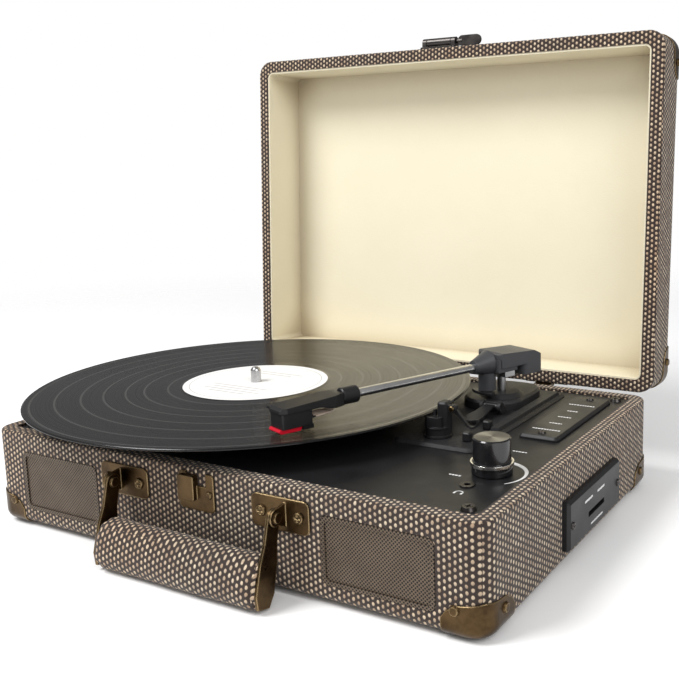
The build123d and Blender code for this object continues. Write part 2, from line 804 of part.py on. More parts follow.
clip_open = 160.0                   # degrees from closed over the tube to hanging open
parked_tube_x = rest_x + 1.6
with BuildPart() as arm_clip:
    turned = radians(clip_open)
    clip_plane = Plane(
        origin=(clip_x, post_y + 1.5, clip_z), x_dir=(cos(turned), 0, -sin(turned)),
        z_dir=(0, -1, 0),
    )
    hook_x, hook_z = parked_tube_x - clip_x, arm_z - clip_z
    with BuildSketch(clip_plane):
        Circle(2.2)
        with BuildLine():
            Polyline(
                (-1.6, 1), (hook_x + 3.5, hook_z), (hook_x + 4.6, hook_z), (1.8, 1), close=True
            )
        make_face()
        with BuildSketch(mode=Mode.ADD):
            with Locations((hook_x, hook_z)):
                Circle(4.7)
                Circle(3.4, mode=Mode.SUBTRACT)
            with Locations((hook_x, hook_z - 5)):
                Rectangle(12, 10, mode=Mode.SUBTRACT)
        Circle(1.0 + bearing_clearance, mode=Mode.SUBTRACT)
    extrude(amount=2.2)
save(arm_clip, "arm_clip")

lift_top_z = arm_z - 17.1 - 0.3
with BuildPart() as cue_lift:
    with BuildSketch(arm_level(lift_top_z)):
        with BuildLine():
            Polyline((0, 0), (60, -34), (60, 34), close=True)
        make_face()
        Circle(20.8, mode=Mode.INTERSECT)
        Circle(15.4, mode=Mode.SUBTRACT)
    extrude(amount=-1.8)
    with BuildSketch(arm_level(lift_top_z - 1.0)):
        with Locations((14, 0)):
            Rectangle(7, 4)
    extrude(amount=-1.4)
    with BuildSketch(arm_level(lift_top_z - 1.2)):
        with Locations((lift_stem_reach, 0)):
            Circle(lift_stem_radius)
    extrude(amount=-9)
save(cue_lift, "cue_lift")

with BuildPart() as cue_lever:
    with BuildSketch(along_x(cue_x - 4.9, cue_y, cue_z)):
        Circle(2.6)
    extrude(amount=9.8)
    with BuildSketch(along_x(cue_x - 7.3, cue_y, cue_z)):
        Circle(1.2)
    extrude(amount=14.6)
    # flat paddle that the finger lifts
    paddle = Plane(
        origin=(cue_x, cue_y, cue_z + 0.4), x_dir=(1, 0, 0),
        z_dir=(0, -sin(radians(8)), cos(radians(8))),
    )
    with BuildSketch(paddle):
        with BuildLine():
            Polyline((-3.2, 0), (-5.2, -14), (-7.4, -20))
            ThreePointArc((-7.4, -20), (-2.0, -29), (4.4, -21))
            Polyline((4.4, -21), (3.6, -12), (3.2, 0), (-3.2, 0))
        make_face()
    extrude(amount=1.5)
save(cue_lever, "cue_lever")

# ---------------------------------------------------------------- knobs
with BuildPart() as volume_knob:
    for bottom, radius, height in ((0.5, 11.4, 4.6), (5.1, 12.1, 1.9), (7.0, 10.6, 13.5)):
        with BuildSketch(Plane.XY.offset(deck_z + bottom)):
            with Locations((knob_x, knob_y)):
                Circle(radius)
        extrude(amount=height)
    chamfer(volume_knob.faces().sort_by(Axis.Z)[-1].edges(), 0.7)
    with BuildSketch(Plane.XY.offset(deck_z + 0.5)):
        with Locations((knob_x, knob_y)):
            Circle(3.0)
    extrude(amount=-deck_thick - 9)
save(volume_knob, "volume_knob")

switch_travel = 5.0
for name, switch_y in (("speed_knob", speed_y), ("stop_knob", stop_y)):
    with BuildPart() as switch_knob:
        travel_start = switch_y - switch_travel / 2
        with BuildSketch(Plane.XY.offset(deck_bottom_z - 4)):
            with Locations((switch_x, travel_start)):
                Rectangle(2.2, 4.4)
        extrude(amount=4 + deck_thick + island_height + 1)
        with BuildSketch(Plane.XY.offset(island_z + 0.5)):
            with Locations((switch_x, travel_start)):
                RectangleRounded(5.4, 5.0, 1.2)
        extrude(amount=5.0)
        chamfer(switch_knob.faces().sort_by(Axis.Z)[-1].edges(), 0.8)
    save(switch_knob, name)

# ================================================================ front hardware
screw_gap = 12.6
plate_thick = 1.2
ear_inner = strap_x + strap_thick / 2 + 0.4
ear_thick = 1.3
with BuildPart() as handle_brackets:
    for sign in (-1, 1):
        with BuildSketch(along_y(front_y)):
            with Locations((sign * bracket_x, bracket_z)):
                RectangleRounded(38.5, 18.5, 3.5)
            with Locations(
                (sign * bracket_x - screw_gap, bracket_z), (sign * bracket_x + screw_gap, bracket_z)
            ):
                Circle(1.7, mode=Mode.SUBTRACT)
        extrude(amount=plate_thick)
        # folded-out ear that carries the strap, outside the strap
        with BuildSketch(along_x(sign * ear_inner)):
            with Locations((handle_pivot_y, handle_pivot_z)):
                Circle(5.0)
            with BuildLine():
                Polyline(
                    (front_y - 0.4, bracket_z + 7), (front_y - 0.4, bracket_z - 6.5),
                    (handle_pivot_y + 1, handle_pivot_z - 4.9),
                    (handle_pivot_y + 1, handle_pivot_z + 4.9), close=True,
                )
            make_face()
            with Locations((handle_pivot_y, handle_pivot_z)):
                Circle(pivot_radius, mode=Mode.SUBTRACT)
        extrude(amount=sign * ear_thick)
save(handle_brackets, "handle_brackets")

with BuildPart() as bracket_fasteners:
    for sign in (-1, 1):
        for shift in (-screw_gap, screw_gap):
            pan_screw(
                along_y(front_y - plate_thick, sign * bracket_x + shift, bracket_z),
                3.4, 1.3, 1.6, wall + 1,
            )
        # pivot rivet through ear and strap
        ear_outer = sign * (ear_inner + ear_thick)
        strap_inner = sign * (strap_x - strap_thick / 2 - 0.4)
        with BuildSketch(along_x(ear_outer, handle_pivot_y, handle_pivot_z)):
            Circle(3.4)
        extrude(amount=sign * 1.2, taper=25)
        with BuildSketch(along_x(ear_outer, handle_pivot_y, handle_pivot_z)):
            Circle(pivot_radius)
        extrude(amount=strap_inner - ear_outer)
        with BuildSketch(along_x(strap_inner, handle_pivot_y, handle_pivot_z)):
            Circle(3.4)
        extrude(amount=-sign * 1.2, taper=25)
save(bracket_fasteners, "bracket_fasteners")

droop = radians(handle_lean)


def strap_plane(x):
    """A plane facing +X at the handle pivot, its Y running up the strap."""
    return Plane(
        origin=(x, handle_pivot_y, handle_pivot_z), x_dir=(0, cos(droop), -sin(droop)),
        z_dir=(1, 0, 0),
    )


with BuildPart() as handle_straps:
    for sign in (-1, 1):
        with BuildSketch(strap_plane(sign * strap_x - strap_thick / 2)):
            Circle(4.8)
            with BuildLine():
                Polyline(
                    (-4.8, 0), (4.8, 0), (5.0, -14), (6.8, -24), (7.2, -grip_drop - 6),
                    (4.5, -grip_drop - 13.2), (-4.5, -grip_drop - 13.2),
                    (-7.2, -grip_drop - 6), (-6.8, -24), (-5.0, -14), close=True,
                )
            make_face()
            Circle(pivot_radius + bearing_clearance, mode=Mode.SUBTRACT)
        extrude(amount=strap_thick)
save(handle_straps, "handle_straps")

grip_half = strap_x - strap_thick / 2
with BuildPart() as handle_grip:
    with BuildSketch(strap_plane(-grip_half)):
        with Locations((0, -grip_drop)):
            SlotCenterToCenter(9.0, 20.6, rotation=90)
    extrude(amount=2 * grip_half)
save(handle_grip, "handle_grip")

with BuildPart() as latch_catch:
    with BuildSketch(along_y(front_y)):
        with Locations((-1, 49.8)):
            RectangleRounded(26, 22, 2.5)
        with Locations((-1, 57)):
            Rectangle(15, 8, mode=Mode.SUBTRACT)
        with Locations((8.6, 49)):
            Circle(1.3, mode=Mode.SUBTRACT)
    extrude(amount=1.2)
    # raised tongue that the lid's hasp hooks over
    with BuildSketch(along_y(front_y)):
        with Locations((-6.4, 52)):
            RectangleRounded(12, 14.6, 1.5)
    extrude(amount=4.2)
save(latch_catch, "latch_catch")

# ---------------------------------------------------------------- corner guards
guard_skin = 0.9


def guard_block(home, grow, height):
    """The case half's outer form, grown by a skin, up to a height above its closed face."""
    with BuildSketch(home.offset(-grow)) as outline:
        RectangleRounded(case_width + 2 * grow, case_depth + 2 * grow, corner_radius + grow)
    extrude(outline.sketch, amount=height + grow)


def corner_profile(half_length, reach, height, tail):
    """Side view of two corner guards: full height at the corner, lower at the inner end."""
    for sign in (-1, 1):
        edge = sign * (half_length + 2)
        end = sign * (half_length - reach)
        Polygon(
            (edge, -2), (edge, height), (end + sign * 9, height - 3),
            (end + sign * 3, tail), (end, tail - 4), (end, -2), align=None,
        )


def corner_guards(home, height, tail, edge_radius):
    """Four pressed caps round the corners of the case half that starts at this plane."""
    up = Axis(home.origin, home.z_dir)
    with BuildPart() as inner:
        guard_block(home, 0, height + 10)
        fillet(inner.faces().sort_by(up)[0].edges(), edge_radius)
    with BuildPart() as caps:
        guard_block(home, guard_skin, height)
        fillet(caps.faces().sort_by(up)[0].edges(), edge_radius + guard_skin)
        add(inner.part, mode=Mode.SUBTRACT)
        with BuildSketch(Plane(origin=home.origin, x_dir=home.x_dir, z_dir=-home.y_dir)):
            corner_profile(case_width / 2, 25, height, tail)
        extrude(amount=case_depth, both=True, mode=Mode.INTERSECT)
        with BuildSketch(Plane(origin=home.origin, x_dir=home.y_dir, z_dir=home.x_dir)):
            corner_profile(case_depth / 2, 30, height, tail)
        extrude(amount=case_width, both=True, mode=Mode.INTERSECT)
    return caps


def dome_rivet(plane, radius=3.0, height=1.3, shank_length=6.0):
    """A round-headed rivet standing on the plane."""
    with BuildSketch(plane) as head:
        Circle(radius)
    extrude(head.sketch, amount=height, taper=30)
    with BuildSketch(plane) as shank:
        Circle(1.0)
    extrude(shank.sketch, amount=-shank_length)


base_home = Plane.XY.offset(foot_height)
base_guard_height, base_guard_tail = 20.0, 13.5
base_corner_guards = corner_guards(
    base_home, base_guard_height, base_guard_tail, bottom_edge_radius
)


def guard_rivets(home, up):
    """One rivet on the long face and one on the short face of every corner guard."""
    for sx in (-1, 1):
        for sy in (-1, 1):
            long_face = home.origin + home.x_dir * (sx * 163.0)
            long_face += home.y_dir * (sy * (case_depth / 2 + guard_skin)) + home.z_dir * up
            dome_rivet(Plane(origin=long_face, x_dir=home.x_dir, z_dir=home.y_dir * sy))
            short_face = home.origin + home.y_dir * (sy * (case_depth / 2 - 19))
            short_face += home.x_dir * (sx * (case_width / 2 + guard_skin)) + home.z_dir * (up - 3)
            dome_rivet(Plane(origin=short_face, x_dir=home.y_dir, z_dir=home.x_dir * sx))


leaf_width = 34.0
with BuildPart() as base_fasteners:
    guard_rivets(base_home, 14.5)
    dome_rivet(along_y(front_y - 1.2, 8.6, 49), 2.4, 1.0, 5)
    for sign in (-1, 1):
        for shift in (-11, 0, 11):
            leaf_face = Plane(
                origin=(sign * hinge_x + shift, -front_y + 1.3, hinge_z - 15),
                x_dir=(1, 0, 0), z_dir=(0, 1, 0),
            )
            dome_rivet(leaf_face, 2.4, 1.0, 6)
save(base_fasteners, "base_fasteners")

# ================================================================ lid
lid_home = Plane(
    origin=lid_back_frame.origin + lid_frame.y_dir * (case_depth / 2),
    x_dir=(1, 0, 0), z_dir=lid_frame.z_dir,
)
lid_outward = Axis(lid_home.origin, lid_home.z_dir)
lid_inner_width = case_width - 2 * lid_wall
lid_inner_height = case_depth - 2 * lid_wall
with BuildPart() as lid_shell:
    guard_block(lid_home, 0, lid_depth)
    fillet(lid_shell.faces().sort_by(lid_outward)[0].edges(), lid_edge_radius)
    fillet(lid_shell.faces().sort_by(lid_outward)[-1].edges(), rim_edge_radius)
    with BuildSketch(lid_home.offset(lid_back_thick)):
        RectangleRounded(lid_inner_width, lid_inner_height, 5)
    extrude(amount=lid_depth, mode=Mode.SUBTRACT)

lining_rim_gap = 0.8
with BuildPart() as lid_lining:
    with BuildSketch(lid_home.offset(lid_back_thick)):
        RectangleRounded(lid_inner_width, lid_inner_height, 5)
    extrude(amount=lid_depth - lid_back_thick - lining_rim_gap)
    with BuildSketch(lid_home.offset(lid_back_thick + lining_thick)):
        RectangleRounded(
            lid_inner_width - 2 * lining_thick, lid_inner_height - 2 * lining_thick,
            5 - lining_thick,
        )
    extrude(amount=lid_depth, mode=Mode.SUBTRACT)
save(lid_lining, "lid_lining")

lid_corner_guards = corner_guards(lid_home, 26.0, 20.0, lid_edge_radius)

# ---------------------------------------------------------------- hinges
knuckle_radius = 3.2
hinge_pin_radius = 1.5
knuckle_middle = 13.0
knuckle_gap = 0.3
leaf_thick = 1.3
outer_knuckle = (leaf_width - knuckle_middle) / 2 - knuckle_gap
wall_gap = -front_y - hinge_y       # from the hinge axis to the back face, negative

with BuildPart() as base_hinge_leaves:
    for sign in (-1, 1):
        left = sign * hinge_x - leaf_width / 2
        for start in (left, left + leaf_width - outer_knuckle):
            with BuildSketch(along_x(start, hinge_y, hinge_z)):
                Circle(knuckle_radius)
                with BuildLine():
                    Polyline(
                        (wall_gap, -5.0), (wall_gap + leaf_thick, -5.0), (3.0, -1.0),
                        (-2.6, 1.8), (wall_gap, -1.5), close=True,
                    )
                make_face()
                Circle(hinge_pin_radius, mode=Mode.SUBTRACT)
            extrude(amount=outer_knuckle)
        with BuildSketch(along_x(left, hinge_y, hinge_z)):
            with Locations((wall_gap + leaf_thick / 2, -13)):
                Rectangle(leaf_thick, 19)
        extrude(amount=leaf_width)

# the hinge axis as seen from the lid: up from its hinge-side face, out from its rim
hinge_up = (hinge_y - lid_edge_y) * sin(lean) + (hinge_z - lid_edge_z) * cos(lean)
hinge_out = -(hinge_y - lid_edge_y) * cos(lean) + (hinge_z - lid_edge_z) * sin(lean)


def lid_section(x):
    """A plane facing +X at the lid's hinge-side rim edge: X runs back, Y runs up the lid."""
    return Plane(
        origin=(x, lid_edge_y, lid_edge_z), x_dir=-lid_frame.z_dir, z_dir=(1, 0, 0)
    )


with BuildPart() as lid_hinge_leaves:
    for sign in (-1, 1):
        with BuildSketch(lid_section(sign * hinge_x - knuckle_middle / 2)):
            with Locations((-hinge_out, hinge_up)):
                Circle(knuckle_radius)
            with BuildLine():
                Polyline(
                    (8, -leaf_thick), (8, 0), (1.0, 0), (-hinge_out + 1.0, hinge_up + 3.0),
                    (-hinge_out + 1.0, hinge_up - 2.6), close=True,
                )
            make_face()
            with Locations((-hinge_out, hinge_up)):
                Circle(hinge_pin_radius + bearing_clearance, mode=Mode.SUBTRACT)
        extrude(amount=knuckle_middle)
        with BuildSketch(lid_section(sign * hinge_x - leaf_width / 2)):
            with Locations((15.5, -leaf_thick / 2)):
                Rectangle(19, leaf_thick)
        extrude(amount=leaf_width)

with BuildPart() as pivot_pins:
    for sign in (-1, 1):
        with BuildSketch(along_x(sign * hinge_x - leaf_width / 2 - 0.8, hinge_y, hinge_z)):
            Circle(hinge_pin_radius)
        extrude(amount=leaf_width + 1.6)
    # the arm clip's pin
    with BuildSketch(along_y(post_y - 3.0, clip_x, clip_z)):
        Circle(1.7)
    extrude(amount=0.6)
    with BuildSketch(along_y(post_y - 3.0, clip_x, clip_z)):
        Circle(1.0)
    extrude(amount=-5.2)
save(pivot_pins, "pivot_pins")

# ---------------------------------------------------------------- lid latch
# plane on the lid's free edge: X to the right, Y towards the lid's back
latch_wall = Plane(
    origin=lid_frame.origin + lid_frame.y_dir * case_depth, x_dir=(1, 0, 0),
    z_dir=lid_frame.y_dir,
)
latch_axis_back = 8.0
latch_axis_high = 5.1
latch_plate_thick = 1.3
latch_barrel_radius = 3.4
latch_pin_radius = 1.4
hasp_x = -6.4


def latch_section(x):
    """A plane facing +X whose origin is the latch lever's axis: X back, Y out of the lid."""
    origin = latch_wall.origin + latch_wall.y_dir * latch_axis_back
    origin += latch_wall.z_dir * latch_axis_high
    return Plane(
        origin=(x, origin.Y, origin.Z), x_dir=latch_wall.y_dir, z_dir=(1, 0, 0)
    )


with BuildPart() as latch_plate:
    with BuildSketch(latch_wall):
        with Locations((-2.5, 11)):
            RectangleRounded(31, 18, 3)
    extrude(amount=latch_plate_thick)
    for ear_x in (-16.6, 9.0):
        with BuildSketch(latch_section(ear_x)):
            Circle(3.4)
            with Locations((0, -2.3)):
                Rectangle(6.8, 4.0)
            Circle(latch_pin_radius + bearing_clearance, mode=Mode.SUBTRACT)
        extrude(amount=3.5)

with BuildPart() as latch_lever:
    with BuildSketch(latch_section(-12.7)):
        Circle(latch_barrel_radius)
    extrude(amount=21.4)
    with BuildSketch(latch_section(-16.4)):
        Circle(latch_pin_radius)
    extrude(amount=34)
    # oval tab for the thumb
    with BuildSketch(Plane(
        origin=latch_section(24).origin, x_dir=(1, 0, 0), z_dir=-latch_wall.y_dir,
    )):
        SlotOverall(20, 8.0)
    extrude(amount=0.9, both=True)
    # hasp with a window for the catch's tongue
    hasp_plane = latch_wall.offset(latch_axis_high + latch_barrel_radius)
    with BuildSketch(hasp_plane):
        with Locations((hasp_x, latch_axis_back + 17)):
            RectangleRounded(17.4, 26, 2)
        with Locations((hasp_x, latch_axis_back + 3)):
            Rectangle(12, 6)
        with Locations((hasp_x, latch_axis_back + 19)):
            Rectangle(12.7, 15.4, mode=Mode.SUBTRACT)
    extrude(amount=-1.4)
save(latch_lever, "latch_lever")

with BuildPart() as lid_fasteners:
    guard_rivets(lid_home, 19.0)
    for point in ((-15.5, 17.0), (10.5, 17.0)):
        with BuildSketch(latch_wall.offset(latch_plate_thick)):
            with Locations(point):
                Circle(1.8)
        extrude(amount=0.9, taper=25)
        with BuildSketch(latch_wall.offset(latch_plate_thick)):
            with Locations(point):
                Circle(0.9)
        extrude(amount=-5)
    for sign in (-1, 1):
        for shift in (-11, 0, 11):
            face_centre = lid_section(sign * hinge_x + shift)
            seat = Plane(
                origin=face_centre.from_local_coords(Vector(16, -leaf_thick, 0)),
                x_dir=(1, 0, 0), z_dir=-lid_frame.y_dir,
            )
            dome_rivet(seat, 2.4, 1.0, 6)
save(lid_fasteners, "lid_fasteners")

# ---------------------------------------------------------------- holes for the fasteners
for name, piece, fasteners in (
    ("base_shell", base_shell, (base_fasteners, bracket_fasteners, panel_screws)),
    ("deck_plate", deck_plate, (panel_screws,)),
    ("base_corner_guards", base_corner_guards, (base_fasteners,)),
    ("base_hinge_leaves", base_hinge_leaves, (base_fasteners,)),
    ("lid_shell", lid_shell, (lid_fasteners,)),
    ("lid_corner_guards", lid_corner_guards, (lid_fasteners,)),
    ("lid_hinge_leaves", lid_hinge_leaves, (lid_fasteners,)),
    ("latch_plate", latch_plate, (lid_fasteners,)),
):
    with BuildPart() as drilled:
        add(piece.part)
        for fastener in fasteners:
            add(fastener.part, mode=Mode.SUBTRACT)
    save(drilled, name)
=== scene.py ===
import json
from math import cos, pi, radians, sin, sqrt

import bpy
from mathutils import Matrix, Vector, noise


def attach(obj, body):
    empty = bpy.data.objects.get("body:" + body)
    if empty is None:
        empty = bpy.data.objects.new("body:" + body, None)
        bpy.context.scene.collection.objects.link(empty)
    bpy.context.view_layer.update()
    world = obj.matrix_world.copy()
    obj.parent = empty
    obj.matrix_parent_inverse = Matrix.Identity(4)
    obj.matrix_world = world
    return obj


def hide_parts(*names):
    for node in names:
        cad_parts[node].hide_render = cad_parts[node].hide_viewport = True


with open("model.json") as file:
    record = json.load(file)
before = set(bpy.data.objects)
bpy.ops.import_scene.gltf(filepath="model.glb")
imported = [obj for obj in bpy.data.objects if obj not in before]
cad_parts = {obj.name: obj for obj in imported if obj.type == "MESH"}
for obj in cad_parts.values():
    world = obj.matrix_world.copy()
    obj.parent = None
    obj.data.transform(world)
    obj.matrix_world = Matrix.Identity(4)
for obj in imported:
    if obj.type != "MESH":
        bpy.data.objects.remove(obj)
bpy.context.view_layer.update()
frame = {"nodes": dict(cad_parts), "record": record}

MM = 0.001
DECK_Z = 61.5
SPINDLE_XY = (-61.0, -6.5)
KNOB_XY = (149.0, -58.0)
INK_LIFT = 0.02
INK_THICK = 0.12
PLATE_RISE = 2.8
PANEL_FACE_X = 184.5

# the covering's weave, in mm: one slub to a cell, every other column half a cell up
CLOTH_COLUMN, CLOTH_ROW = 3.0, 3.6
SLUB_WIDTH, SLUB_LENGTH = 0.94, 1.22

# the record, in mm from its centre
LABEL_RADIUS = 49.9
LABEL_RING_RADIUS = 45.5
RUN_OUT_RADIUS = 58.0
GROOVE_PITCH = 1.1
TRACK_GAPS = (131.0, 115.0, 101.0, 87.0, 75.0, 59.5, 146.0)
LABEL_LINES = ((26, 20), (21, 14), (-16, 24), (-21, 20), (-26, 24), (-31, 16))

GRILLE_PITCH = 2.2


# ------------------------------------------------------------------ material helper
class Net:
    """A material with a Principled shader and short ways to add nodes to it."""

    def __init__(self, name, rough=0.5, metal=0.0, **fixed):
        self.material = bpy.data.materials.new(name)
        self.material.use_nodes = True
        self.tree = self.material.node_tree
        self.shader = self.tree.nodes["Principled BSDF"]
        self.shader.inputs["Roughness"].default_value = rough
        self.shader.inputs["Metallic"].default_value = metal
        for key, value in fixed.items():
            self.shader.inputs[key.replace("_", " ")].default_value = value
        self.coords = self.tree.nodes.new("ShaderNodeTexCoord")
        self.point = self.coords.outputs["Object"]
        self.facing = self.coords.outputs["Normal"]

    def put(self, socket, value):
        if isinstance(value, bpy.types.NodeSocket):
            self.tree.links.new(value, socket)
        elif isinstance(value, (tuple, list)) and len(value) == 3 and socket.type == "RGBA":
            socket.default_value = (*value, 1.0)
        else:
            socket.default_value = value

    def node(self, kind, settings=None, **inputs):
        made = self.tree.nodes.new("ShaderNode" + kind)
        for key, value in (settings or {}).items():
            setattr(made, key, value)
        for key, value in inputs.items():
            self.put(made.inputs[key.replace("_", " ")], value)
        return made

    def math(self, operation, *values):
        made = self.tree.nodes.new("ShaderNodeMath")
        made.operation = operation
        for socket, value in zip(made.inputs, values):
            self.put(socket, value)
        return made.outputs[0]

    def xyz(self, vector):
        return self.node("SeparateXYZ", Vector=vector).outputs

    def step(self, value, low, high, out_low=0.0, out_high=1.0):
        made = self.node("MapRange", {"interpolation_type": "SMOOTHSTEP"}, Value=value)
        for key, number in zip(("From Min", "From Max", "To Min", "To Max"),
                               (low, high, out_low, out_high)):
            made.inputs[key].default_value = number
        return made.outputs[0]

    def mix(self, factor, first, second):
        made = self.tree.nodes.new("ShaderNodeMix")
        made.data_type = "RGBA"
        self.put(made.inputs[0], factor)
        self.put(made.inputs[6], first)
        self.put(made.inputs[7], second)
        return made.outputs[2]

    def noise(self, scale, detail=4.0, rough=0.55, stretch=None):
        vector = self.point
        if stretch:
            vector = self.node("Mapping", Vector=vector, Scale=stretch).outputs[0]
        made = self.node("TexNoise", Vector=vector, Scale=scale, Detail=detail, Roughness=rough)
        return made.outputs[0]

    def bump(self, height, distance, strength=1.0, under=None):
        made = self.node("Bump", Height=height, Distance=distance, Strength=strength)
        if under is not None:
            self.put(made.inputs["Normal"], under)
        return made.outputs[0]

    def finish(self, color=None, rough=None, normal=None, metal=None):
        for key, value in (("Base Color", color), ("Roughness", rough), ("Normal", normal),
                           ("Metallic", metal)):
            if value is not None:
                self.put(self.shader.inputs[key], value)
        return self.material


def tweed():
    """Woven covering: staggered light slubs on a dark ground, wrapped round every face."""
    n = Net("tweed_cloth", rough=0.82, Sheen_Weight=0.15)
    x, y, z = n.xyz(n.point)
    fx, fy, fz = [n.math("ABSOLUTE", part) for part in n.xyz(n.facing)]
    on_side = n.math("GREATER_THAN", fx, n.math("MAXIMUM", fy, fz))
    on_top = n.math("GREATER_THAN", fz, n.math("MAXIMUM", fx, fy))
    u = n.math("ADD", x, n.math("MULTIPLY", n.math("SUBTRACT", y, x), on_side))
    v = n.math("ADD", z, n.math("MULTIPLY", n.math("SUBTRACT", y, z), on_top))
    wander = n.math("MULTIPLY_ADD", n.noise(180.0, 2.0), 0.0009, -0.00045)
    columns = n.math("DIVIDE", n.math("ADD", u, wander), CLOTH_COLUMN * MM)
    column = n.math("FLOOR", columns)
    half = n.math("MULTIPLY", n.math("FLOORED_MODULO", column, 2.0), 0.5)
    rows = n.math("ADD", n.math("DIVIDE", n.math("ADD", v, wander), CLOTH_ROW * MM), half)
    row = n.math("FLOOR", rows)
    across = n.math("MULTIPLY", n.math("SUBTRACT", n.math("FRACT", columns), 0.5),
                    CLOTH_COLUMN / SLUB_WIDTH)
    along = n.math("MULTIPLY", n.math("SUBTRACT", n.math("FRACT", rows), 0.5),
                   CLOTH_ROW / SLUB_LENGTH)
    reach = n.math("SQRT", n.math("ADD", n.math("POWER", n.math("ABSOLUTE", across), 2.0),
                                  n.math("POWER", n.math("ABSOLUTE", along), 2.0)))
    slub = n.step(reach, 1.08, 0.62)
    cell = n.node("CombineXYZ", X=column, Y=row).outputs[0]
    odd = n.node("TexWhiteNoise", {"noise_dimensions": "2D"}, Vector=cell).outputs[0]
    fibre = n.noise(2600.0, 3.0, 0.6, (1.0, 1.0, 0.35))
    light = n.mix(odd, (0.40, 0.285, 0.185), (0.80, 0.665, 0.475))
    light = n.mix(n.step(fibre, 0.30, 0.75), n.mix(0.45, light, (0.26, 0.15, 0.095)), light)
    dark = n.mix(fibre, (0.005, 0.0025, 0.0018), (0.042, 0.021, 0.013))
    tint = n.mix(n.step(n.noise(6.0, 2.0), 0.35, 0.7), (1.0, 0.93, 0.88), (0.94, 0.97, 1.0))
    color = n.node("Mix", {"data_type": "RGBA", "blend_type": "MULTIPLY"})
    n.put(color.inputs[0], 1.0)
    n.put(color.inputs[6], n.mix(slub, dark, light))
    n.put(color.inputs[7], tint)
    dome = n.math("SUBTRACT", 1.0, n.math("MINIMUM", reach, 1.2))
    height = n.math("ADD", dome, n.math("MULTIPLY", fibre, 0.35))
    return n.finish(color=color.outputs[2], normal=n.bump(height, 0.0007, 0.9))


def lining():
    """Plain cream paper-cloth, very slightly uneven, with painted shade darkening its corners."""
    n = Net("cream_lining", rough=0.78)
    blotch = n.noise(9.0, 5.0)
    weave = n.noise(900.0, 2.0)
    color = n.mix(blotch, (0.68, 0.615, 0.455), (0.77, 0.715, 0.555))
    # painted shade: the colour turns dark brown where ambient occlusion finds corners and recesses
    painted_shade_ao = n.node("AmbientOcclusion", {"samples": 8}, Distance=0.03)
    color = n.mix(n.step(painted_shade_ao.outputs["AO"], 0.25, 0.85), (0.48, 0.40, 0.27), color)
    height = n.math("ADD", n.math("MULTIPLY", weave, 0.4), n.noise(30.0, 3.0))
    return n.finish(color=color, normal=n.bump(height, 0.0005, 0.5))


def bronze():
    """Antique plate: dark brown in the hollows, brassy where it is rubbed."""
    n = Net("antique_bronze", rough=0.36, metal=1.0)
    cloud = n.noise(60.0, 6.0, 0.6)
    edge_normal = n.node("Bevel", {"samples": 4}, Radius=0.0011).outputs[0]
    flat = n.node("NewGeometry").outputs["Normal"]
    agree = n.node("VectorMath", {"operation": "DOT_PRODUCT"})
    n.put(agree.inputs[0], edge_normal)
    n.put(agree.inputs[1], flat)
    rubbed = n.step(agree.outputs["Value"], 0.995, 0.90)
    base = n.mix(n.step(cloud, 0.3, 0.7), (0.042, 0.026, 0.013), (0.125, 0.078, 0.036))
    color = n.mix(n.math("MULTIPLY", rubbed, 0.75), base, (0.52, 0.38, 0.20))
    return n.finish(color=color, rough=n.step(cloud, 0.2, 0.8, 0.24, 0.48),
                    normal=n.bump(n.noise(700.0, 3.0), 0.0001, 0.5, edge_normal))


def plastic(name, low, high, rough, grain=2200.0, depth=0.00008, strength=0.5):
    """Moulded plastic with a fine grain and soft edges."""
    n = Net(name, rough=rough, Specular_IOR_Level=0.34)
    soft = n.node("Bevel", {"samples": 4}, Radius=0.0006).outputs[0]
    cloud = n.noise(35.0, 4.0)
    return n.finish(color=n.mix(cloud, low, high),
                    rough=n.step(cloud, 0.2, 0.8, rough * 0.85, min(1.0, rough * 1.2)),
                    normal=n.bump(n.noise(grain, 2.0), depth, strength, soft))


def metal(name, low, high, rough, grain=1500.0):
    """Bare metal, faintly marked by its finishing."""
    n = Net(name, rough=rough, metal=1.0)
    soft = n.node("Bevel", {"samples": 4}, Radius=0.0004).outputs[0]
    cloud = n.noise(120.0, 5.0)
    return n.finish(color=n.mix(cloud, low, high),
                    rough=n.step(cloud, 0.2, 0.8, rough * 0.7, rough * 1.3),
                    normal=n.bump(n.noise(grain, 3.0), 0.00004, 0.5, soft))


def radius_from(n, centre):
    """Distance from an upright line through the centre, with its x and y parts."""
    x, y, z = n.xyz(n.point)
    dx = n.math("SUBTRACT", x, centre[0] * MM)
    dy = n.math("SUBTRACT", y, centre[1] * MM)
    squares = n.math("ADD", n.math("MULTIPLY", dx, dx), n.math("MULTIPLY", dy, dy))
    return n.math("SQRT", squares), dx, dy


